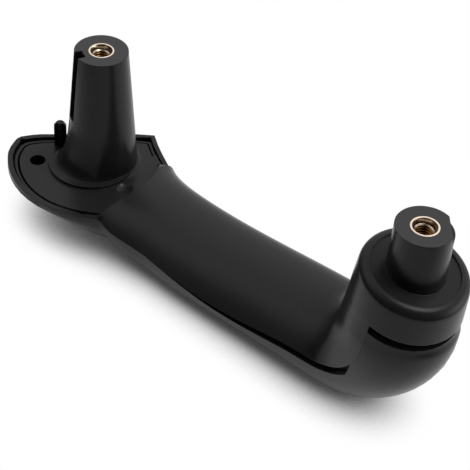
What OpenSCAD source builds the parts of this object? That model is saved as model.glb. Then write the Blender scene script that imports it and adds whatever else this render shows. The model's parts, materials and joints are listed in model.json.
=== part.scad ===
// Car door pull handle: a moulded body with two bosses, an outer cover and two brass inserts.
// The origin is the centre of the tall post's end face. Z runs up the bosses and X towards the stub.

/* [Fixing points] */
// Distance between the axes of the post and the stub
post_spacing = 136; // [120:1:160]
// Height of the stub's end face above the post's end face
stub_rise = 12; // [6:0.5:16]
// Height of the post above the floor of the foot
post_height = 47; // [40:1:52]
// Radius of the post at its end face
post_r = 9.2; // [8.5:0.1:10.5]
// Draft of the post's side, in degrees
post_draft = 4.4; // [2:0.2:5.4]
// Radius of the stub at its end face
stub_r = 8.8; // [8.4:0.1:10]
// Draft of the stub's side, in degrees
stub_draft = 1; // [0:0.2:2]
// Height of the stub above the hub's face
stub_height = 16.3; // [12:0.5:20]

/* [Threaded inserts] */
// Outside diameter of an insert
insert_d = 8.6; // [7.8:0.1:9.4]
// Length of an insert
insert_len = 12; // [8:0.5:14]
// Bore of an insert, the core diameter of an M6 thread
thread_core_d = 5; // [4.6:0.1:5.4]
// Mouth diameter of an insert's lead-in chamfer
mouth_d = 6.6; // [6:0.1:7.2]
// Room round an insert in its boss
insert_fit = 0.02; // [0.01:0.01:0.05]
// Room below an insert in its boss
insert_relief = 2; // [1:0.5:3]

/* [Key ways] */
// Width of the post's key way
post_key_w = 4; // [2.6:0.1:4.6]
// Length of the post's key way from its end face
post_key_len = 26; // [20:1:34]
// Direction of the post's key way, in degrees
post_key_angle = 248; // [230:1:270]
// Distance of the stub's key flat from its axis
stub_flat = 7.4; // [7:0.1:8]
// Depth of the stub's key flat from its end face
stub_key_len = 1.8; // [1:0.1:3]
// Direction of the stub's key flat, in degrees
stub_key_angle = 44; // [0:1:60]
// Wall left between a key way and the insert
key_wall = 2; // [1.6:0.1:2.4]

/* [Hub] */
// Radius of the hub
hub_r = 16.9; // [16:0.1:18.5]
// Tilt of the hub's face from the stub's end face, in degrees
hub_tilt = 10.8; // [8:0.2:13]
// Lean of the hub's axis from the stub's axis, in degrees
hub_lean = 4.6; // [3:0.2:7]
// Draft of the hub's side, in degrees
hub_draft = 3.2; // [1:0.1:4]
// Fillet round the hub's face
hub_fillet = 3; // [1.5:0.1:4]
// Radius of the recess in the hub's face
recess_r = 13.7; // [12.5:0.1:14]
// Depth of the recess in the hub's face
recess_depth = 0.5; // [0.3:0.1:0.8]
// Depth of the hub's shadow gap below its face
hub_gap_depth = 12.2; // [11.4:0.2:13]
// Width of the hub's shadow gap
hub_gap = 3; // [2:0.1:3.4]
// Set-back of the cover from the hub's side at the shadow gap
hub_set = 0.7; // [0.3:0.1:1.4]
// Length of the straight hub below its face
hub_len = 20.9; // [20:0.1:23]

/* [Grip] */
// Radius of the bend between the grip and the hub, at its middle
bend_r = 26.5; // [25:0.5:28]
// Fullness of the elbow's outer corner
elbow_fill = 0.7; // [0:0.1:2]
// Slope of the grip where the bend starts, in degrees
grip_rise = 5.7; // [3:0.1:8]
// Length over which the grip sags down from the bend
sag_len = 66; // [50:1:72]
// Half width of the grip
grip_half_w = 15; // [14:0.1:16]
// Half height of the grip at the bend
grip_half_h = 16; // [15:0.1:17]
// Half height that the grip loses for each millimetre towards the foot
grip_taper = 0.03; // [0.01:0.005:0.04]
// Sideways shift of the grip at the foot
grip_shift = 3.2; // [0:0.1:5]
// Squareness of the grip's section, where 2 is an ellipse
squareness = 2.6; // [2.2:0.1:3]

/* [Foot] */
// Radius of the foot's round edge
foot_r = 32.6; // [31:0.2:34]
// Centre of the foot's round edge along the handle
foot_x = -1.4; // [-2:0.1:0]
// Distance of the foot's straight edge from the post's axis
chord_dist = 14.1; // [13.4:0.1:16]
// Direction of the foot's straight edge, in degrees
chord_angle = 48.8; // [44:0.2:54]
// Depth of the cover below the floor at the foot's outer end
foot_depth = 6.5; // [6:0.1:9]
// Height of the cover's rim above the floor
rim_rise = 0.5; // [0.2:0.1:1]
// Thickness of the cover's rim
rim_w = 1.7; // [1.4:0.1:2]
// Gap between the rim and the floor plate
rim_gap = 2.7; // [2:0.1:3]
// Gap between the rim and the floor plate at the near corner
rim_gap_end = 1.2; // [1.2:0.1:2]
// Thickness of the floor plate
plate_t = 2; // [1.6:0.1:2.2]
// Radius of the pocket that the post stands in
pocket_r = 25.2; // [24.4:0.1:26]
// Pocket centre along the handle
pocket_x = 1.5; // [0.5:0.5:2.5]
// Pocket centre across the handle
pocket_y = -8; // [-9:0.5:-7]
// Fillet at the foot of the post
post_fillet_r = 2.4; // [1.6:0.2:2.6]
// Radius of the pad round the post
pad_r = 15.5; // [14.5:0.1:17]
// Height of the pad round the post
pad_h = 1; // [0.6:0.1:1.6]
// Diameter of the two holes in the floor plate
hole_d = 5.6; // [4:0.1:6]
// Width of the locating peg
peg_w = 4.4; // [3.6:0.1:5]
// Height of the locating peg above the floor
peg_h = 11; // [8:0.5:14]

/* [Shells] */
// Wall of the outer cover
cover_wall = 2.2; // [1.8:0.1:2.6]
// Wall of the body's lip that stands inside the cover
lip_wall = 1.8; // [1.4:0.1:2.2]
// Depth of the body's lip below the seam
lip_depth = 3; // [2:0.2:4]
// Clearance between the lip and the cover
lip_fit = 0.15; // [0.1:0.01:0.2]
// Widest shadow gap along the grip
seam_gap = 2.6; // [2:0.1:3.2]
// Narrowest gap of the seam
seam_shut = 0.05; // [0.04:0.01:0.2]

/* [Hidden] */
$fn = 72;
plastic = "#2b2b2d";
cover_plastic = "#303032";
brass = "#b8914e";

// Points round the outside of one section's half, and inside it
ARC = 18;
INNER = ARC / 2;
FOOT_STEPS = 16;
DROP_STEPS = 8;
GRIP_STEPS = 11;
BEND_STEPS = 12;
HUB_STEPS = 4;
FILLET_STEPS = 5;
RING = 64;

function clamp(t) = min(1, max(0, t));
function smooth(t) = let (c = clamp(t)) c * c * (3 - 2 * c);
function mix(a, b, t) = a + (b - a) * t;

// Hub face, bend centre and the line that the grip follows, in the XZ plane
hub_face = [post_spacing, stub_rise - stub_height];
hub_dir = [sin(hub_lean), cos(hub_lean)];
hub_out = [cos(hub_lean), -sin(hub_lean)];
function hub_at(depth) = hub_face - depth * hub_dir;
function hub_r_at(depth) = hub_r + depth * tan(hub_draft);
bend_end = hub_at(hub_len);
bend_centre = bend_end - bend_r * hub_out;
bend_turn = 90 - hub_lean;
face_turn = 90 - hub_tilt;
function on_bend(turn) = bend_centre + bend_r * [sin(turn), -cos(turn)];
bend_start = on_bend(grip_rise);
sag_start = bend_start[0] - sag_len;
function sag(x) = max(0, x - sag_start);
function spine_z(x) = bend_start[1] - tan(grip_rise) * (sag_len - pow(sag(x), 2) / sag_len) / 2;
function spine_turn(x) = atan(tan(grip_rise) * sag(x) / sag_len);

// Plan outline: a round foot with a straight edge that flares into the grip's two sides
floor_z = -post_height;
corner_turn = 34.4;
corner_x = pocket_x + pocket_r * cos(corner_turn);
flare_len = 20;
flare_x = corner_x + flare_len;
near_flare = 3.4;
near_power = 1.3;
far_flare = 12;
far_power = 2.2;
corner_round = 4;
corner_cut = 2;
chord_n = [-sin(chord_angle), cos(chord_angle)];
chord_d = [cos(chord_angle), sin(chord_angle)];
function shift(x) = -grip_shift * (1 - smooth((x - flare_x) / (bend_start[0] - flare_x)));
function flared(x) = max(0, flare_x - x);
function near_side(x, inset) = let (
        side = shift(x) - grip_half_w - near_flare * pow(flared(x) / flare_len, near_power) + inset,
        round_edge = foot_r - inset, out = x - foot_x)
    out < round_edge ? min(out < 0 ? 0 : side, -sqrt(pow(round_edge, 2) - out * out)) : side;
function far_side(x, inset) = let (
        side = shift(x) + grip_half_w + far_flare * pow(flared(x) / flare_len / 2, far_power) - inset,
        chord = (chord_dist - inset - chord_n[0] * x) / chord_n[1])
    min(side, chord);
function left_end(inset) = let (c = chord_dist - inset - chord_n[0] * foot_x, r = foot_r - inset)
    foot_x + (c * chord_n - sqrt(r * r - c * c) * chord_d)[0];
// Rounds the foot's left corner: the share of the full width at x
function nose(x, inset) = let (u = clamp((x - left_end(inset) - corner_cut) / corner_round))
    sqrt(1 - pow(1 - u, 2));
function near_edge(x, inset = 0) = let (m = (near_side(x, inset) + far_side(x, inset)) / 2)
    mix(m, near_side(x, inset), nose(x, inset));
function far_edge(x, inset = 0) = let (m = (near_side(x, inset) + far_side(x, inset)) / 2)
    mix(m, far_side(x, inset), nose(x, inset));

// Heights of a section above and below the spine
function half_h(x) = grip_half_h - grip_taper * (bend_start[0] - x);
foot_power = 1.25;
rim_band = 1.5;
foot_bottom = floor_z - foot_depth;
function belly(x) = let (deep = spine_z(flare_x) - half_h(flare_x))
    x > flare_x ? half_h(x)
    : spine_z(x) - mix(foot_bottom, deep, smooth((x - left_end(0)) / (flare_x - left_end(0))));

// The widest level of a section: under the rim's band at the foot, then down to the grip's spine
corner_fall = 4;
function wide_z(x) = let (above = floor_z - rim_band - spine_z(x))
    spine_z(x) + above * (x < corner_x ? 1 : exp((corner_x - x) / corner_fall));

// The seam lies this far above the widest level, and opens by gap_at towards the hub
seam_drop = 3.8;
seam_end = 0.5;
seam_run = 50;
gap_run = 60;
seam_sunk = 0.3;
function seam_at(x) = (rim_band - seam_sunk) * (1 - smooth((x - corner_x) / corner_fall))
    - seam_drop * smooth((x - corner_x - corner_fall) / seam_run)
    + (seam_drop - seam_end) * pow(smooth((x - flare_x) / (bend_start[0] - flare_x)), 3);
function gap_at(x) = mix(2 * seam_shut, seam_gap, smooth((x - flare_x) / gap_run));
groove_end = 52;
groove_tip = 2.5;

// A station is [x, z, turn, half width, up, down, power below, power above, seam, gap, hollow]
pocket_end = pocket_x + pocket_r;
pocket_back = 4.3;
hollow_start = pocket_end + pocket_back;
hollow_slope = 5;
solid = 0.06;
function grip_station(x) = let (up = wide_z(x) - spine_z(x))
    [x, wide_z(x), spine_turn(x), 0, half_h(x) - up, belly(x) + up,
     mix(foot_power, squareness, smooth(x / flare_x)), squareness, seam_at(x), gap_at(x),
     mix(solid, 1, smooth((x - hollow_start) / hollow_slope))];
function bend_station(turn) = let (
        p = on_bend(turn), t = (turn - grip_rise) / (bend_turn - grip_rise),
        w = mix(grip_half_w, hub_r_at(hub_len), smooth(t)),
        h = mix(grip_half_h, hub_r_at(hub_len), smooth(t)), power = mix(squareness, 2, smooth(t)))
    [p[0], p[1], turn, w, h, h + elbow_fill * sin(180 * t * t), power, power, mix(-seam_end, 0, smooth(t)),
     mix(seam_gap, seam_shut, smooth((turn - groove_end + groove_tip) / groove_tip / 2)), 1];
// The hub's sections turn from the end of the bend to lie along the hub's face at the shadow gap
cover_depth = hub_gap_depth + hub_gap;
hub_step = 0.03;
hub_lap = 0.5;
function hub_station(depth) = let (
        p = hub_at(depth), r = hub_r_at(depth) - hub_step,
        t = smooth((hub_len - depth) / (hub_len - cover_depth)))
    [p[0], p[1], mix(bend_turn, face_turn, t), r, r, r - hub_set * t, 2, 2, 0, seam_shut, 1];
function hub_stations(top) = [for (i = [1 : HUB_STEPS]) hub_station(mix(hub_len, top, i / HUB_STEPS))];

tip = 0.15;
foot_x0 = left_end(0) + corner_cut + tip;
foot_stations = [for (i = [0 : FOOT_STEPS])
    grip_station(mix(foot_x0, corner_x, 1 - cos(90 * i / FOOT_STEPS)))];
drop_stations = [for (i = [1 : DROP_STEPS])
    grip_station(mix(corner_x, flare_x, pow(i / DROP_STEPS, 2)))];
grip_stations = [for (i = [1 : GRIP_STEPS - 1])
    grip_station(mix(flare_x, bend_start[0], i / GRIP_STEPS))];
bend_stations = [for (i = [0 : BEND_STEPS])
    bend_station(mix(grip_rise, bend_turn, i / BEND_STEPS))];
body_lead = 7;
body_x0 = pocket_x + body_lead;
body_stations = concat([for (s = foot_stations) if (s[0] > body_x0) s], drop_stations, grip_stations,
    bend_stations, hub_stations(hub_gap_depth - hub_lap));
cover_stations = concat(foot_stations, drop_stations, grip_stations, bend_stations,
    hub_stations(cover_depth));

// Walls thin out to the rim at the foot, where the lip and the skin leave the rim's gap open
plate_inset = rim_w + rim_gap;
function near_gap(x) = mix(rim_gap, rim_gap_end, smooth((x - foot_x0) / (corner_x - foot_x0)));
skin_run = 8;
skin_step = 0.3;
rise_lead = 4;
function skin_at(x) = (plate_inset - skin_step) * (1 - smooth((x - corner_x) / skin_run + 1));
function rise_at(x) = mix(rim_rise + seam_sunk, -gap_at(x),
    smooth((x - corner_x + rise_lead) / (skin_run - rise_lead) + 1));
function wall_at(x) = mix(rim_w, cover_wall, smooth((x - corner_x) / skin_run));
function lip_at(x) = mix(plate_inset + seam_sunk, cover_wall + lip_fit, smooth((x - corner_x) / skin_run));
function lip_depth_at(x) = mix(plate_t / 2 - gap_at(x), lip_depth, smooth((x - corner_x) / skin_run));

// Points of a section: the two sides, an angle below the widest level, and the curve itself
function sides(s, inset) = s[3] == 0 ? [near_edge(s[0], inset), far_edge(s[0], inset)]
    : [inset - s[3], s[3] - inset];
function bow(v, p) = sign(v) * pow(abs(v), p);
function dip(s, inset, h) = let (below = h > 0, b = s[below ? 5 : 4] - inset)
    sign(h) * asin(pow(clamp(abs(h) / b), s[below ? 6 : 7] / 2));
thin = 0.05;
function on_section(s, inset, angle) = let (
        e = sides(s, inset), w = max((e[1] - e[0]) / 2, thin), above = sin(angle) > 0,
        b = (s[above ? 4 : 5] - inset) * clamp(w / (inset + thin)), p = 2 / s[above ? 7 : 6])
    [(e[0] + e[1]) / 2 + w * bow(cos(angle), p), b * bow(sin(angle), p)];
function arc(s, inset, from, to, n) = [for (i = [0 : n]) on_section(s, inset, mix(from, to, i / n))];
function placed(s, points) = [for (p = points)
    [s[0] - p[1] * sin(s[2]), p[0], s[1] + p[1] * cos(s[2])]];

// Body section: the skin over the crown, the seam's faces, and a lip that goes down inside the cover
function body_ring(s) = let (
        out = lip_at(s[0]), in = out + lip_wall, low = s[9] + lip_depth_at(s[0]) - s[8],
        skin = skin_at(s[0]), seam = dip(s, skin, -s[8]), step = dip(s, out, -s[8]),
        rim = dip(s, in, -s[8]), lip = dip(s, out, low), foot = dip(s, in, low))
    placed(s, concat(
        arc(s, skin, -seam, 180 + seam, ARC),
        [on_section(s, out, 180 + step), on_section(s, out, 180 + lip), on_section(s, in, 180 + foot)],
        [for (p = arc(s, in, 180 + rim, -rim, INNER)) [p[0], mix(-low, p[1], s[10])]],
        [on_section(s, in, -foot), on_section(s, out, -lip), on_section(s, out, -step)]));
NEAR = ARC + 1;
INSIDE = NEAR + 3;
FAR = INSIDE + INNER + 1;
body_cap = concat(
    [[2, INSIDE + INNER - 1, INSIDE + INNER, FAR + 2, 0, 1]],
    [for (j = [1 : INNER - 2]) [2 * j, 2 * j + 1, 2 * j + 2, INSIDE + INNER - j - 1, INSIDE + INNER - j]],
    [[ARC - 2, ARC - 1, ARC, NEAR, INSIDE, INSIDE + 1]],
    [[NEAR, NEAR + 1, NEAR + 2, INSIDE], [INSIDE + INNER, FAR, FAR + 1, FAR + 2]]);

// Cover section: the skin under the belly and the wall's inner face
function cover_ring(s) = let (
        wall = wall_at(s[0]), open = s[8] + (s[0] < corner_x ? rise_at(s[0]) : -s[9]),
        seam = dip(s, 0, -open), edge = dip(s, wall, -open))
    let (inner = arc(s, wall, 360 - edge, 180 + edge, ARC))
    placed(s, concat(arc(s, 0, 180 + seam, 360 - seam, ARC),
        [for (i = [0 : ARC]) i % ARC == 0 ? [inner[i][0], open] : inner[i]]));
cover_cap = [for (i = [0 : ARC - 1]) [i, i + 1, 2 * ARC - i, 2 * ARC + 1 - i]];

// Places on the floor plate, round the post
function around(r, angle) = r * [cos(angle), sin(angle)];
left_hole_out = 0.7;
left_hole_turn = 229.5;
left_hole = around(left_hole_out * foot_r, left_hole_turn);
right_hole_out = 0.55;
right_hole_turn = 344.7;
right_hole = around(right_hole_out * foot_r, right_hole_turn);
peg_out = 0.51;
peg_turn = 201.4;
peg_at = around(peg_out * foot_r, peg_turn);
peg_point = 1.5;
pad_out = 3.8;
pad_turn = 247;
pad_at = around(pad_out, pad_turn);
plate_lap = 2;
plate_end = pocket_end + plate_lap;
sunk = 0.6;
relief_h = 1.6;
lid_t = 5;
near_cut = 12;
fillet_sink = 0.05;
fillet_bite = 0.6;
far_reach = 10.5;
far_cut = pocket_x + far_reach;
// The rim's gap is filled behind the post, between these distances from the pocket's centre
fill_from = 9;
fill_to = 17;
fill_drop = 0.25;
fill_room = 4 * lip_fit;
rim_room = 5 * lip_fit;
skirt_room = 3 * lip_fit;
skirt_under = 4;
over = 1;

// Joins rings of the same count, and closes the two ends with the given faces
module loft(rings, cap) {
    n = len(rings[0]);
    last = (len(rings) - 1) * n;
    sides = [for (k = [0 : len(rings) - 2], i = [0 : n - 1]) let (j = (i + 1) % n)
        each [[k * n + i, (k + 1) * n + j, k * n + j], [k * n + i, (k + 1) * n + i, (k + 1) * n + j]]];
    end = [for (f = cap) [for (i = [len(f) - 1 : -1 : 0]) f[i] + last]];
    polyhedron(points = [for (r = rings) each r], faces = concat(sides, cap, end));
}

// A boss along Z whose end face is at the origin, with a lead of draft down its side
module boss(r, draft, h) {
    translate([0, 0, -h]) cylinder(r1 = r + h * tan(draft), r2 = r, h = h);
}

// A hollow ring that carries the post's side round into the pad
module post_fillet() {
    r = post_r + post_height * tan(post_draft) - fillet_bite;
    rotate_extrude() difference() {
        translate([r, -plate_t / 2]) square([post_fillet_r, post_fillet_r + plate_t / 2]);
        translate([r + post_fillet_r, post_fillet_r]) circle(r = post_fillet_r);
    }
}

// The bore for an insert, with room below it
module insert_seat() {
    depth = insert_len + insert_relief;
    translate([0, 0, -depth]) cylinder(d = insert_d + 2 * insert_fit, h = depth + over);
}

// A cut down the side of a boss, from a distance off its axis to its outside
module key_way(w, len, angle, from, reach) {
    rotate([0, 0, angle]) translate([from, -w / 2, -len]) cube([reach - from, w, len + over]);
}

// Sets what is drawn along Z in its place on the hub, with the hub's face at Z 0
module on_hub(turn) {
    translate([hub_face[0], 0, hub_face[1]]) rotate([0, turn, 0]) children();
}

// A circle parallel to the hub's face, at a depth down the hub's axis
function hub_ring(depth, r) = let (c = hub_at(depth)) [for (i = [0 : RING - 1]) let (a = 360 * i / RING)
    [c[0] + r * cos(a) * cos(hub_tilt), r * sin(a), c[1] - r * cos(a) * sin(hub_tilt)]];
ring_cap = [[for (i = [0 : RING - 1]) i]];

// The hub's upper end: a rounded face with a shallow recess, over a skirt that closes the shadow gap
module hub_collar() {
    skirt_r = hub_r_at(hub_gap_depth) - hub_set - cover_wall - skirt_room;
    skirt_h = cover_depth + lip_depth;
    difference() {
        union() {
            loft(concat([hub_ring(hub_gap_depth, hub_r_at(hub_gap_depth))],
                [for (i = [0 : FILLET_STEPS]) let (a = 90 * i / FILLET_STEPS)
                    hub_ring(hub_fillet * (1 - sin(a)), hub_r_at(hub_fillet) - hub_fillet * (1 - cos(a)))]),
                ring_cap);
            loft([hub_ring(skirt_h, skirt_r), hub_ring(lid_t, skirt_r)], ring_cap);
        }
        on_hub(hub_tilt) translate([0, 0, -recess_depth]) cylinder(r = recess_r, h = over);
        on_hub(hub_lean) translate([0, 0, -skirt_h - skirt_under])
            cylinder(r = skirt_r - 2 * lip_wall, h = skirt_h + skirt_under - lid_t);
    }
}

module plate_outline() {
    x0 = left_end(plate_inset) + corner_cut + tip;
    xs = [for (i = [0 : FOOT_STEPS]) mix(x0, plate_end, 1 - cos(90 * i / FOOT_STEPS))];
    polygon(concat([for (x = xs) [x, near_edge(x, rim_w + near_gap(x))]],
        [for (i = [FOOT_STEPS : -1 : 0]) [xs[i], far_edge(xs[i], plate_inset)]]));
}

// Four-bladed peg with a pointed end
module locating_peg() {
    blade = peg_w / 3;
    for (turn = [0, 90]) rotate([0, 0, turn + chord_angle]) rotate([90, 0, 0])
        translate([0, 0, -blade / 2]) linear_extrude(blade) polygon([
            [-peg_w / 2, -plate_t / 2], [peg_w / 2, -plate_t / 2], [peg_w / 2, peg_h - peg_point],
            [peg_w / 4, peg_h], [-peg_w / 4, peg_h], [-peg_w / 2, peg_h - peg_point]]);
}

// Closes the rim's gap behind the post, where the floor runs up to the rim
module gap_fill() {
    xs = [for (i = [0 : FOOT_STEPS]) pocket_x + mix(fill_from, fill_to, i / FOOT_STEPS)];
    translate([0, 0, floor_z - fill_drop - plate_t / 2]) linear_extrude(plate_t / 2) polygon(concat(
        [for (x = xs) [x, far_edge(x, plate_inset + lip_wall)]],
        [for (i = [FOOT_STEPS : -1 : 0]) [xs[i], far_edge(xs[i], rim_w + fill_room)]]));
}

// Room for the rim along the foot's straight edge, where the post's foot comes close to it
module rim_relief() {
    rotate([0, 0, chord_angle]) translate([-foot_r, chord_dist - rim_w - rim_room, floor_z - 2 * plate_t])
        cube([2 * foot_r, foot_r, 2 * plate_t + relief_h]);
}

module handle_body() {
    stub_base = stub_height + stub_r * sin(hub_tilt) + recess_depth + over;
    color(plastic) difference() {
        union() {
            difference() {
                loft([for (s = body_stations) body_ring(s)], body_cap);
                translate([pocket_x, pocket_y, floor_z - sunk]) cylinder(r = pocket_r, h = post_height);
                translate([-foot_r, -2 * foot_r, floor_z - sunk])
                    cube([foot_r + corner_x, 2 * foot_r - near_cut, post_height]);
                translate([-foot_r, -foot_r, floor_z - sunk])
                    cube([foot_r + far_cut, 2 * foot_r, post_height]);
            }
            translate([0, 0, floor_z - plate_t]) linear_extrude(plate_t) plate_outline();
            gap_fill();
            boss(post_r, post_draft, post_height + plate_t / 2);
            translate([pad_at[0], pad_at[1], floor_z - plate_t / 2])
                cylinder(r = pad_r, h = pad_h + plate_t / 2);
            translate([0, 0, floor_z - fillet_sink]) post_fillet();
            translate([peg_at[0], peg_at[1], floor_z]) locating_peg();
            hub_collar();
            translate([post_spacing, 0, stub_rise]) boss(stub_r, stub_draft, stub_base);
        }
        rim_relief();
        insert_seat();
        translate([post_spacing, 0, stub_rise]) insert_seat();
        key_way(post_key_w, post_key_len, post_key_angle, insert_d / 2 + key_wall, 2 * post_r);
        translate([post_spacing, 0, stub_rise])
            key_way(2 * stub_r, stub_key_len, stub_key_angle, stub_flat, 2 * stub_r);
        for (p = [left_hole, right_hole]) translate([p[0], p[1], floor_z - 2 * plate_t])
            cylinder(d = hole_d, h = 3 * plate_t);
    }
}

module outer_cover() {
    color(cover_plastic) loft([for (s = cover_stations) cover_ring(s)], cover_cap);
}

// A brass bush with its mouth at the origin, bored for the thread and chamfered at the mouth
module threaded_insert() {
    lead = (mouth_d - thread_core_d) / 2;
    translate([0, 0, -insert_len]) rotate_extrude() polygon([
        [thread_core_d / 2, 0], [insert_d / 2, 0], [insert_d / 2, insert_len],
        [mouth_d / 2, insert_len], [thread_core_d / 2, insert_len - lead]]);
}

module post_insert() {
    color(brass) threaded_insert();
}

module stub_insert() {
    color(brass) translate([post_spacing, 0, stub_rise]) threaded_insert();
}

handle_body();
outer_cover();
post_insert();
stub_insert();
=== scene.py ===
"""Studio picture of a car door pull handle that lies on its back on a white table."""

import json
import logging
import math
from dataclasses import dataclass, replace
from enum import Enum
from typing import Any, Sequence

import bmesh
import bpy
from mathutils import Matrix, Vector
from mathutils.bvhtree import BVHTree


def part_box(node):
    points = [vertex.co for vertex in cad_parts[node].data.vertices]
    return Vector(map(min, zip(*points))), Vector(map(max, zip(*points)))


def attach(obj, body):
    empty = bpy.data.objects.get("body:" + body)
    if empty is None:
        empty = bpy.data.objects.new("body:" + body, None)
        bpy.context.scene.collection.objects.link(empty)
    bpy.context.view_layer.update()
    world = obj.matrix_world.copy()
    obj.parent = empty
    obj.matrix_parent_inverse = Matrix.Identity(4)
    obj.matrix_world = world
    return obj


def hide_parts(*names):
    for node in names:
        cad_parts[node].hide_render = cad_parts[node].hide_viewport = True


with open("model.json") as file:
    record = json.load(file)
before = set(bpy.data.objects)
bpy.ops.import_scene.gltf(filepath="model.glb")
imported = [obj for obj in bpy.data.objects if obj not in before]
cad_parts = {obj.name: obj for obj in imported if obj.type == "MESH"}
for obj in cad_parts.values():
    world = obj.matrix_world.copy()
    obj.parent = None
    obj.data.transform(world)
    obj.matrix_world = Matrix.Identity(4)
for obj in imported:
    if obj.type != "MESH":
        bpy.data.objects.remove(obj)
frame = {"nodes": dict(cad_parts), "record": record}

LOG = logging.getLogger("door_pull")
MM = 0.001

# The one body of a handle without joints
HANDLE = "root"

# Face attribute of the bosses' flat ends, which carry a painted highlight, and vertex attribute of the
# grip's near flank
END_HIGHLIGHT = "end_face"
FLANK = "flank"

# Welding distances: the first for a node's loose triangles, the second for slivers and spun rings
WELD_MM = 0.004
SLIVER_MM = 0.002


class CadNode(str, Enum):
    """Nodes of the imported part."""

    BODY = "handle_body"
    COVER = "outer_cover"
    POST_INSERT = "post_insert"
    STUB_INSERT = "stub_insert"


class Slot(str, Enum):
    """Material slots of the record."""

    BODY = "body_plastic"
    COVER = "cover_plastic"
    BRASS = "insert_brass"


def linear(code: str) -> tuple[float, float, float, float]:
    """Turns an sRGB colour code into a linear colour.

    Args:
        code: Six hexadecimal digits after a hash sign.

    Returns:
        Linear red, green, blue and an alpha of 1.
    """
    parts = [int(code[i : i + 2], 16) / 255 for i in (1, 3, 5)]
    r, g, b = [c / 12.92 if c <= 0.04045 else ((c + 0.055) / 1.055) ** 2.4 for c in parts]
    return r, g, b, 1.0


def share(value: float) -> float:
    """Limits a value to the range from 0 to 1."""
    return min(max(value, 0.0), 1.0)


def add_node(
    tree: bpy.types.NodeTree,
    kind: str,
    sockets: dict[str | int, Any] | None = None,
    links: dict[str | int, bpy.types.NodeSocket] | None = None,
    **settings: Any,
) -> bpy.types.Node:
    """Adds a shader node with its settings, constants and links.

    Args:
        tree: Node tree that gets the node.
        kind: Blender's type name of the node.
        sockets: Constant for each named input.
        links: Output socket to join to each named input.
        **settings: Properties of the node itself.

    Returns:
        The new node.
    """
    node = tree.nodes.new(kind)
    for key, value in settings.items():
        setattr(node, key, value)
    for key, value in (sockets or {}).items():
        node.inputs[key].default_value = value
    for key, output in (links or {}).items():
        tree.links.new(output, node.inputs[key])
    return node


def new_material(name: str) -> tuple[bpy.types.Material, bpy.types.NodeTree]:
    """Makes a material with an empty node tree.

    Args:
        name: Name of the real material.

    Returns:
        The material and its node tree.
    """
    material = bpy.data.materials.new(name)
    material.use_nodes = True
    material.node_tree.nodes.clear()
    return material, material.node_tree


# Nylon moulded in a finely etched tool. To the eye it is nearly black, with a satin sheen that mirrors pale
# surroundings at a slant, a fine grain in the sheen, and edges that are round enough to catch a thin light.
@dataclass(frozen=True)
class MouldedPlastic:
    """Black moulded plastic with a fine grain, soft edges and a painted highlight on its flat ends."""

    name: str
    colour: str
    end_highlight_colour: str
    roughness: float
    specular: float
    grain_mm: float = 0.32
    grain_depth_mm: float = 0.012
    grain_strength: float = 0.35
    wear_mm: float = 14.0
    wear: float = 0.03
    edge_mm: float = 0.35

    def make(self) -> bpy.types.Material:
        """Makes the material: dark body colour, a lighter painted highlight on the flat ends, satin sheen,
        fine grain and rounded edges.

        Returns:
            The material.
        """
        material, tree = new_material(self.name)
        place = add_node(tree, "ShaderNodeTexCoord").outputs["Object"]
        grain = add_node(
            tree,
            "ShaderNodeTexNoise",
            {"Scale": 1 / (self.grain_mm * MM), "Detail": 2.0, "Roughness": 0.6},
            {"Vector": place},
        )
        # Handling leaves broad patches that are a little more or less polished
        worn = add_node(
            tree,
            "ShaderNodeTexNoise",
            {"Scale": 1 / (self.wear_mm * MM), "Detail": 3.0},
            {"Vector": place},
        )
        sheen = add_node(
            tree,
            "ShaderNodeMapRange",
            {"To Min": self.roughness - self.wear, "To Max": self.roughness + self.wear},
            {"Value": worn.outputs["Fac"]},
        )
        edge = add_node(tree, "ShaderNodeBevel", {"Radius": self.edge_mm * MM}, samples=6)
        # The near flank takes its light as a wall that leans back
        flank = add_node(tree, "ShaderNodeAttribute", attribute_name=FLANK)
        lift = add_node(tree, "ShaderNodeCombineXYZ", links={"Z": flank.outputs["Fac"]})
        tilted = add_node(
            tree,
            "ShaderNodeVectorMath",
            links={0: edge.outputs["Normal"], 1: lift.outputs["Vector"]},
            operation="ADD",
        )
        laid_back = add_node(
            tree, "ShaderNodeVectorMath", links={0: tilted.outputs["Vector"]}, operation="NORMALIZE"
        )
        bump = add_node(
            tree,
            "ShaderNodeBump",
            {"Strength": self.grain_strength, "Distance": self.grain_depth_mm * MM},
            {"Height": grain.outputs["Fac"], "Normal": laid_back.outputs["Vector"]},
        )
        # The flat ends get a lighter colour: a painted highlight where the light falls on their tops
        face = add_node(tree, "ShaderNodeAttribute", attribute_name=END_HIGHLIGHT)
        tone = add_node(
            tree,
            "ShaderNodeMix",
            {"A": linear(self.colour), "B": linear(self.end_highlight_colour)},
            {"Factor": face.outputs["Fac"]},
            data_type="RGBA",
        )
        shader = add_node(
            tree,
            "ShaderNodeBsdfPrincipled",
            {"Specular IOR Level": self.specular},
            {
                "Base Color": tone.outputs["Result"],
                "Roughness": sheen.outputs["Result"],
                "Normal": bump.outputs["Normal"],
            },
        )
        add_node(tree, "ShaderNodeOutputMaterial", links={"Surface": shader.outputs["BSDF"]})
        return material
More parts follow.
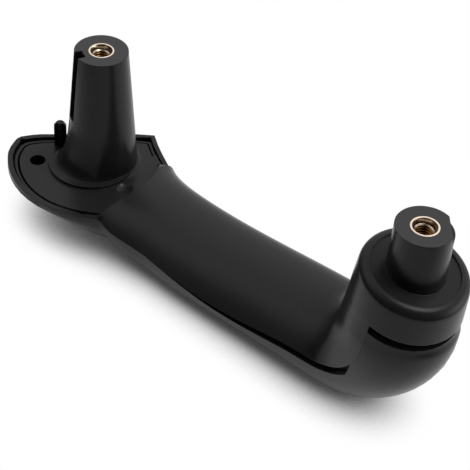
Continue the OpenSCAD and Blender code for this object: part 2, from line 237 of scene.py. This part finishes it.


# Brass turned on a lathe. To the eye it is a bright warm ring round each bore. Down in the bore, where
# little light gets in, its colour is painted a dull brown as painted shade.
@dataclass(frozen=True)
class TurnedBrass:
    """Bright turned brass with painted shade in its bore."""

    name: str
    colour: str
    bore_shade_colour: str
    roughness: float
    recess_mm: float = 5.0
    shaded_below: float = 0.6
    lit_above: float = 1.0
    edge_mm: float = 0.12

    def make(self) -> bpy.types.Material:
        """Makes the material: a warm metal with a soft gleam, painted brown and dull in its bore as shade.

        Returns:
            The material.
        """
        material, tree = new_material(self.name)
        edge = add_node(tree, "ShaderNodeBevel", {"Radius": self.edge_mm * MM}, samples=6)
        # Ambient occlusion paints shade into the colour: dark brown where the bore hides the surroundings,
        # pale brass in the open
        open_sky = add_node(
            tree, "ShaderNodeAmbientOcclusion", {"Distance": self.recess_mm * MM}, samples=16
        )
        lit_share = add_node(
            tree,
            "ShaderNodeMapRange",
            {"From Min": self.shaded_below, "From Max": self.lit_above},
            {"Value": open_sky.outputs["AO"]},
        )
        tone = add_node(
            tree,
            "ShaderNodeMix",
            {"A": linear(self.bore_shade_colour), "B": linear(self.colour)},
            {"Factor": lit_share.outputs["Result"]},
            data_type="RGBA",
        )
        shader = add_node(
            tree,
            "ShaderNodeBsdfPrincipled",
            {"Metallic": 1.0, "Roughness": self.roughness},
            {"Base Color": tone.outputs["Result"], "Normal": edge.outputs["Normal"]},
        )
        add_node(tree, "ShaderNodeOutputMaterial", links={"Surface": shader.outputs["BSDF"]})
        return material


# Matt white paper. To the eye, and in reflections, it is a plain white ground with a soft shadow that
# closes in under the handle.
@dataclass(frozen=True)
class TablePaper:
    """White table that is bright to the camera and darkens softly under the handle."""

    name: str
    colour: str
    shadow_mm: float
    shadow_from: float
    shadow_to: float
    shadow_tone: float

    def make(self) -> bpy.types.Material:
        """Makes the material: a matt white sheet with a soft contact shadow.

        Returns:
            The material.
        """
        material, tree = new_material(self.name)
        paper = add_node(tree, "ShaderNodeBsdfDiffuse", {"Color": linear(self.colour)})
        shelter = add_node(
            tree, "ShaderNodeAmbientOcclusion", {"Distance": self.shadow_mm * MM}, samples=24
        )
        depth = add_node(
            tree,
            "ShaderNodeMapRange",
            {
                "From Min": self.shadow_from,
                "From Max": self.shadow_to,
                "To Min": self.shadow_tone,
            },
            {"Value": shelter.outputs["AO"]},
            interpolation_type="SMOOTHSTEP",
        )
        seen = add_node(
            tree, "ShaderNodeEmission", {"Strength": 1.0}, {"Color": depth.outputs["Result"]}
        )
        path = add_node(tree, "ShaderNodeLightPath")
        mirrored = add_node(
            tree,
            "ShaderNodeMath",
            links={0: path.outputs["Is Glossy Ray"], 1: path.outputs["Is Transmission Ray"]},
            operation="MAXIMUM",
        )
        direct = add_node(
            tree,
            "ShaderNodeMath",
            links={0: path.outputs["Is Camera Ray"], 1: mirrored.outputs["Value"]},
            operation="MAXIMUM",
        )
        sheet = add_node(
            tree,
            "ShaderNodeMixShader",
            links={
                0: direct.outputs["Value"],
                1: paper.outputs["BSDF"],
                2: seen.outputs["Emission"],
            },
        )
        add_node(tree, "ShaderNodeOutputMaterial", links={"Surface": sheet.outputs["Shader"]})
        return material


def put_in_scene(
    name: str, bm: bmesh.types.BMesh, material: bpy.types.Material, smooth: bool = True
) -> bpy.types.Object:
    """Turns a finished bmesh into an object at the origin.

    Args:
        name: Name of the object and of its mesh.
        bm: Mesh in the part's frame, which is freed.
        material: Finish of the whole mesh.
        smooth: Whether its faces are shaded as one curve.

    Returns:
        The new object.
    """
    for face in bm.faces:
        face.smooth = smooth
    mesh = bpy.data.meshes.new(name)
    bm.to_mesh(mesh)
    bm.free()
    mesh.materials.append(material)
    piece = bpy.data.objects.new(name, mesh)
    bpy.context.scene.collection.objects.link(piece)
    return piece


def spin_profile(
    bm: bmesh.types.BMesh,
    profile: Sequence[tuple[float, float]],
    axis: Vector,
    turns: int = 1,
    rise: float = 0.0,
    steps: int = 48,
) -> None:
    """Spins a profile about a vertical axis, as a closed ring or as a screw.

    Args:
        bm: Mesh that gets the surface.
        profile: Radius and height of each point, in metres.
        axis: A point on the axis.
        turns: Number of whole turns.
        rise: Height gained in one turn.
        steps: Steps in one turn.
    """
    verts = [bm.verts.new((axis.x + r, axis.y, z)) for r, z in profile]
    edges = [bm.edges.new(pair) for pair in zip(verts, verts[1:])]
    bmesh.ops.spin(
        bm,
        geom=verts + edges,
        cent=axis,
        axis=(0, 0, 1),
        dvec=(0, 0, rise / steps),
        angle=2 * math.pi * turns,
        steps=steps * turns,
        use_duplicate=False,
    )
    if not rise:
        bmesh.ops.remove_doubles(bm, verts=bm.verts, dist=SLIVER_MM * MM)


@dataclass(kw_only=True)
class Piece:
    """One visible piece of the handle, with its finish, its slot and the CAD node that it stands for."""

    finish: bpy.types.Material
    slot: Slot
    node: CadNode | None = None

    def build(self) -> bpy.types.Object:
        """Builds the piece's object, each kind of piece in its own way."""
        raise NotImplementedError

    def dress(self) -> bpy.types.Object:
        """Builds the piece, fixes it to the handle and lets it stand for its CAD node, if it has one.

        Returns:
            The piece's object.
        """
        piece = self.build()
        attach(piece, HANDLE)
        if self.node:
            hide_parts(self.node.value)
        return piece


@dataclass(kw_only=True)
class Shell(Piece):
    """One moulded shell, taken from its CAD node and welded into a smooth skin."""

    crease_deg: float = 30.0
    flat_deg: float = 12.0
    corner_deg: float = 50.0
    levels: int = 2
    draft: float = 0.0
    grip_mm: tuple[float, float] = (10.0, 122.0)
    fade_mm: float = 13.0
    facing_gain: float = 3.0
    level_cosine: float = 0.99
    level_mm: float = 0.05

    def build(self) -> bpy.types.Object:
        """Copies the CAD node into a welded mesh that subdivides between its sharp edges.

        Returns:
            The shell's object.
        """
        # Only points and faces are copied, so that none of the node's own shading comes along
        source = frame["nodes"][self.node.value].data
        bm = bmesh.new()
        verts = [bm.verts.new(v.co) for v in source.vertices]
        for face in source.polygons:
            corners = [verts[i] for i in face.vertices]
            if bm.faces.get(corners) is None:
                bm.faces.new(corners)
        bmesh.ops.remove_doubles(bm, verts=bm.verts, dist=WELD_MM * MM)
        bmesh.ops.dissolve_degenerate(bm, dist=SLIVER_MM * MM, edges=bm.edges)
        bmesh.ops.recalc_face_normals(bm, faces=bm.faces)
        bmesh.ops.join_triangles(
            bm,
            faces=bm.faces,
            angle_face_threshold=math.radians(self.flat_deg),
            angle_shape_threshold=math.radians(self.corner_deg),
        )
        crease = bm.edges.layers.float.new("crease_edge")
        for edge in bm.edges:
            sharp = edge.calc_face_angle(0.0) > math.radians(self.crease_deg)
            edge[crease] = float(sharp)
            edge.smooth = not sharp
        self.mark_flank(bm)
        self.mark_end_faces(bm)
        piece = put_in_scene(f"{self.node.value}_skin", bm, self.finish)
        if self.levels:
            skin = piece.modifiers.new("smooth skin", "SUBSURF")
            skin.levels = skin.render_levels = self.levels
        return piece

    def mark_flank(self, bm: bmesh.types.BMesh) -> None:
        """Marks the grip's near flank, which takes its light as a wall that leans back.

        Args:
            bm: Welded mesh of the shell.
        """
        mark = bm.verts.layers.float.new(FLANK)
        start, end = self.grip_mm
        for vert in bm.verts:
            inside = min(vert.co.x / MM - start, end - vert.co.x / MM) / self.fade_mm
            facing = -self.facing_gain * vert.normal.y
            vert[mark] = self.draft * share(inside) * share(facing)

    def mark_end_faces(self, bm: bmesh.types.BMesh) -> None:
        """Marks the flat ends of the bosses, where the material paints a lighter colour as a highlight
        where the light falls on their tops.

        Args:
            bm: Welded mesh of the shell.
        """
        mounts = frame["record"]["mounts"]
        heights = [m["pos_m"][2] for m in mounts if m["kind"] == "flat_face"]
        mark = bm.faces.layers.float.new(END_HIGHLIGHT)
        for face in bm.faces:
            z = face.calc_center_median().z
            at_end = any(abs(z - height) < self.level_mm * MM for height in heights)
            face[mark] = float(at_end and face.normal.z > self.level_cosine)


@dataclass(kw_only=True)
class ThreadedInsert(Piece):
    """Brass insert with a real helical thread in its bore."""

    pitch_mm: float = 1.0
    core_mm: float = 2.5
    root_mm: float = 3.0
    mouth_mm: float = 3.75
    mouth_slope: float = 2.0
    sunk_mm: float = 0.02
    plain_turns: int = 2
    first_turn: float = 0.2
    crest: tuple[float, float] = (0.40, 0.52)
    ridge_width: float = 0.92
    sharp_deg: float = 30.0

    def build(self) -> bpy.types.Object:
        """Spins the bush and its thread about the insert's axis.

        Returns:
            The insert's object.
        """
        low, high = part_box(self.node.value)
        axis = Vector(((low.x + high.x) / 2, (low.y + high.y) / 2, 0))
        outer = (high.x - low.x) / 2
        bm = bmesh.new()
        root, mouth = self.root_mm * MM, self.mouth_mm * MM
        bush = [
            (root, low.z),
            (outer, low.z),
            (outer, high.z),
            (mouth, high.z),
            (root, high.z - self.mouth_slope * (mouth - root)),
            (root, low.z),
        ]
        spin_profile(bm, bush, axis)
        pitch, core = self.pitch_mm * MM, self.core_mm * MM
        turns = int((high.z - low.z) / pitch) - self.plain_turns
        start = low.z + self.first_turn * pitch
        foot = root + self.sunk_mm * MM
        ridge = [
            (foot, start),
            (core, start + self.crest[0] * pitch),
            (core, start + self.crest[1] * pitch),
            (foot, start + self.ridge_width * pitch),
        ]
        spin_profile(bm, ridge, axis, turns, pitch)
        bmesh.ops.recalc_face_normals(bm, faces=bm.faces)
        piece = put_in_scene(f"{self.node.value}_threaded", bm, self.finish)
        piece.data.set_sharp_from_angle(angle=math.radians(self.sharp_deg))
        return piece


@dataclass(kw_only=True)
class PostFlare(Piece):
    """Soft flare that carries the front of the tall post into its pad."""

    top_r_mm: float = 9.2
    draft_deg: float = 4.4
    pad_mm: float = -46.0
    sunk_mm: float = 0.1
    height_mm: float = 14.0
    spread_mm: float = 5.4
    middle_deg: float = 247.0
    half_deg: float = 100.0
    steps: tuple[int, int] = (64, 12)

    def build(self) -> bpy.types.Object:
        """Bends a grid round the post, as a hollow fillet that runs out at its two ends.

        Returns:
            The flare's object.
        """
        bm = bmesh.new()
        bmesh.ops.create_grid(bm, x_segments=self.steps[0], y_segments=self.steps[1], size=1.0)
        lean = math.tan(math.radians(self.draft_deg))
        for vert in bm.verts:
            turn = math.radians(self.middle_deg + self.half_deg * vert.co.x)
            bend = math.pi / 4 * (1 + vert.co.y)
            z = self.pad_mm + self.height_mm * (1 - math.sin(bend)) - self.sunk_mm
            spread = self.spread_mm * math.cos(math.pi / 2 * vert.co.x) ** 2
            r = self.top_r_mm - z * lean + spread * (1 - math.cos(bend))
            vert.co = Vector((r * math.cos(turn), r * math.sin(turn), z)) * MM
        return put_in_scene("post_flare", bm, self.finish)


@dataclass(kw_only=True)
class ClipDimple(Piece):
    """Shallow bowl that closes the right hole in the foot's floor."""

    out_mm: float = 17.93
    turn_deg: float = 344.7
    floor_mm: float = -47.0
    radius_mm: float = 2.85
    depth_mm: float = 0.9
    rings: int = 8

    def build(self) -> bpy.types.Object:
        """Spins the bowl about the hole's axis.

        Returns:
            The bowl's object.
        """
        turn = math.radians(self.turn_deg)
        axis = Vector((math.cos(turn), math.sin(turn), 0)) * self.out_mm * MM
        bm = bmesh.new()
        shares = [i / self.rings for i in range(self.rings + 1)]
        bowl = [
            (self.radius_mm * MM * s, (self.floor_mm - self.depth_mm * (1 - s * s)) * MM) for s in shares
        ]
        spin_profile(bm, bowl, axis)
        return put_in_scene("clip_dimple", bm, self.finish)


@dataclass(kw_only=True)
class RimLip(Piece):
    """Lip of the body that stands in the gap between the foot's floor and the cover's rim."""

    floor_mm: float = -47.0
    level_mm: float = 0.02
    wall_deg: float = 60.0
    sunk_mm: float = 0.3
    depth_mm: float = 2.0
    reach_mm: float = 3.2
    inner: float = 0.3
    outer: float = 0.7

    def build(self) -> bpy.types.Object:
        """Runs a narrow wall along the middle of the gap, beside the edge of the floor.

        Returns:
            The lip's object.
        """
        rim = frame["nodes"][CadNode.COVER.value].data
        wall = BVHTree.FromPolygons([v.co for v in rim.vertices], [p.vertices for p in rim.polygons])
        floor = bmesh.new()
        floor.from_mesh(frame["nodes"][CadNode.BODY.value].data)
        bmesh.ops.remove_doubles(floor, verts=floor.verts, dist=WELD_MM * MM)
        edges = [e for e in floor.edges if self.is_floor_edge(e)]
        bm = bmesh.new()
        down = Vector((0, 0, -self.depth_mm * MM))
        ribs: dict[bmesh.types.BMVert, list[bmesh.types.BMVert]] = {}
        for vert in dict.fromkeys(v for e in edges for v in e.verts):
            sides = [f.normal for e in vert.link_edges if e in edges for f in e.link_faces]
            out = sum(sides, Vector()).to_2d().to_3d().normalized()
            start = vert.co - Vector((0, 0, self.sunk_mm * MM))
            gap = wall.ray_cast(start, out, self.reach_mm * MM)[3]
            if gap is not None:
                near, far = start + out * gap * self.inner, start + out * gap * self.outer
                ribs[vert] = [bm.verts.new(c) for c in (near + down, near, far, far + down)]
        for edge in edges:
            first, last = (ribs.get(v) for v in edge.verts)
            if first and last:
                for i in range(len(first) - 1):
                    bm.faces.new((first[i], first[i + 1], last[i + 1], last[i]))
        floor.free()
        bmesh.ops.recalc_face_normals(bm, faces=bm.faces)
        return put_in_scene("rim_lip", bm, self.finish, smooth=False)

    def is_floor_edge(self, edge: bmesh.types.BMEdge) -> bool:
        """Tells if an edge runs round the outside of the foot's floor.

        Args:
            edge: Edge of the welded body.

        Returns:
            True where the level floor meets a wall that goes down.
        """
        level = all(abs(v.co.z - self.floor_mm * MM) < self.level_mm * MM for v in edge.verts)
        return level and edge.is_convex and edge.calc_face_angle(0.0) > math.radians(self.wall_deg)


@dataclass(frozen=True)
class Glow:
    """One soft patch of light on the studio's tent."""

    name: str
    azimuth_deg: float
    elevation_deg: float
    focus: float
    strength: float

    def towards(self) -> tuple[float, float, float]:
        """Gives the unit direction from the handle to the patch."""
        azimuth, elevation = math.radians(self.azimuth_deg), math.radians(self.elevation_deg)
        flat = math.cos(elevation)
        return flat * math.cos(azimuth), flat * math.sin(azimuth), math.sin(elevation)


@dataclass
class Studio:
    """Small white table in a tent that glows in patches and is dark at the front."""

    paper: bpy.types.Material
    glows: Sequence[Glow]
    middle_mm: float
    table_mm: float
    reach_mm: float

    def build(self) -> bpy.types.Object:
        """Makes the table and the tent.

        Returns:
            The table's object.
        """
        bm = bmesh.new()
        bmesh.ops.create_grid(bm, x_segments=1, y_segments=1, size=self.reach_mm * MM)
        middle = Vector((self.middle_mm, 0, self.table_mm)) * MM
        bmesh.ops.translate(bm, verts=bm.verts, vec=middle)
        table = put_in_scene("table", bm, self.paper, smooth=False)
        self.light_tent()
        return table

    def light_tent(self) -> None:
        """Sums the glows into the tent's light, and gives the camera a white wall."""
        world = bpy.data.worlds.new("tent")
        bpy.context.scene.world = world
        world.use_nodes = True
        tree = world.node_tree
        tree.nodes.clear()
        ray = add_node(tree, "ShaderNodeTexCoord").outputs["Generated"]
        total = add_node(tree, "ShaderNodeValue", label="no light").outputs["Value"]
        for glow in self.glows:
            facing = add_node(
                tree,
                "ShaderNodeVectorMath",
                {1: glow.towards()},
                {0: ray},
                operation="DOT_PRODUCT",
            )
            front = add_node(
                tree, "ShaderNodeMath", {1: 0.0}, {0: facing.outputs["Value"]}, operation="MAXIMUM"
            )
            patch = add_node(
                tree,
                "ShaderNodeMath",
                {1: glow.focus},
                {0: front.outputs["Value"]},
                operation="POWER",
            )
            total = add_node(
                tree,
                "ShaderNodeMath",
                {1: glow.strength},
                {0: patch.outputs["Value"], 2: total},
                operation="MULTIPLY_ADD",
                label=glow.name,
            ).outputs["Value"]
        tent = add_node(tree, "ShaderNodeBackground", links={"Strength": total})
        wall = add_node(tree, "ShaderNodeBackground", {"Color": linear("#ffffff"), "Strength": 1.0})
        path = add_node(tree, "ShaderNodeLightPath")
        mixed = add_node(
            tree,
            "ShaderNodeMixShader",
            links={
                0: path.outputs["Is Camera Ray"],
                1: tent.outputs["Background"],
                2: wall.outputs["Background"],
            },
        )
        add_node(tree, "ShaderNodeOutputWorld", links={"Surface": mixed.outputs["Shader"]})


@dataclass(frozen=True)
class ProductCamera:
    """Long lens above the near right of the handle."""

    place_mm: tuple[float, float, float]
    right: tuple[float, float, float]
    up: tuple[float, float, float]
    focal_px: float
    frame_px: float = 470.0
    sensor_mm: float = 36.0
    clip_m: tuple[float, float] = (0.01, 20.0)

    def build(self) -> bpy.types.Object:
        """Places the camera.

        Returns:
            The camera's object.
        """
        data = bpy.data.cameras.new("product_camera")
        data.sensor_width = self.sensor_mm
        data.lens = self.sensor_mm * self.focal_px / self.frame_px
        data.clip_start, data.clip_end = self.clip_m
        camera = bpy.data.objects.new("product_camera", data)
        right, up = Vector(self.right).normalized(), Vector(self.up).normalized()
        turn = Matrix((right, up, right.cross(up))).transposed().to_4x4()
        camera.matrix_world = Matrix.Translation(Vector(self.place_mm) * MM) @ turn
        bpy.context.scene.collection.objects.link(camera)
        bpy.context.scene.camera = camera
        return camera


def main() -> None:
    """Builds the handle, its studio and the camera, and reports each piece."""
    logging.basicConfig(level=logging.INFO)
    bpy.context.scene.view_settings.view_transform = "Standard"
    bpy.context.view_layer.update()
    moulded = MouldedPlastic(
        name="satin black moulded plastic",
        colour="#242425",
        end_highlight_colour="#3c3c3d",
        roughness=0.27,
        specular=0.17,
    )
    black = moulded.make()
    cover = replace(moulded, name="satin black cover plastic", edge_mm=0.15).make()
    brass = TurnedBrass("turned brass", "#f3e2cc", "#6b4a26", roughness=0.22).make()
    pieces = [
        Shell(node=CadNode.BODY, slot=Slot.BODY, finish=black, draft=1.05),
        Shell(node=CadNode.COVER, slot=Slot.COVER, finish=cover, levels=0),
        ThreadedInsert(node=CadNode.POST_INSERT, slot=Slot.BRASS, finish=brass),
        ThreadedInsert(node=CadNode.STUB_INSERT, slot=Slot.BRASS, finish=brass),
        PostFlare(slot=Slot.BODY, finish=black),
        ClipDimple(slot=Slot.BODY, finish=black),
        RimLip(slot=Slot.BODY, finish=black),
    ]
    for piece in pieces:
        dressed = piece.dress()
        LOG.info("%s has %d faces before its modifiers", dressed.name, len(dressed.data.polygons))
    paper = TablePaper(
        name="white table paper",
        colour="#f4f4f4",
        shadow_mm=26.0,
        shadow_from=0.26,
        shadow_to=0.735,
        shadow_tone=0.05,
    )
    glows = [
        Glow("back wall", azimuth_deg=115, elevation_deg=35, focus=1.8, strength=1.3),
        Glow("left panel", azimuth_deg=212, elevation_deg=52, focus=9.0, strength=1.4),
        Glow("top box", azimuth_deg=42, elevation_deg=66, focus=50.0, strength=11.0),
        Glow("right strip", azimuth_deg=40, elevation_deg=5, focus=12.0, strength=3.5),
    ]
    table = Studio(paper.make(), glows, middle_mm=70.0, table_mm=-67.0, reach_mm=170.0).build()
    camera = ProductCamera(
        place_mm=(283.0, -249.8, 260.5),
        right=(0.7153, 0.6961, 0.0622),
        up=(-0.5018, 0.4496, 0.739),
        focal_px=1350.0,
    ).build()
    LOG.info("%s and %s are in place", table.name, camera.name)


if __name__ == "__main__":
    main()
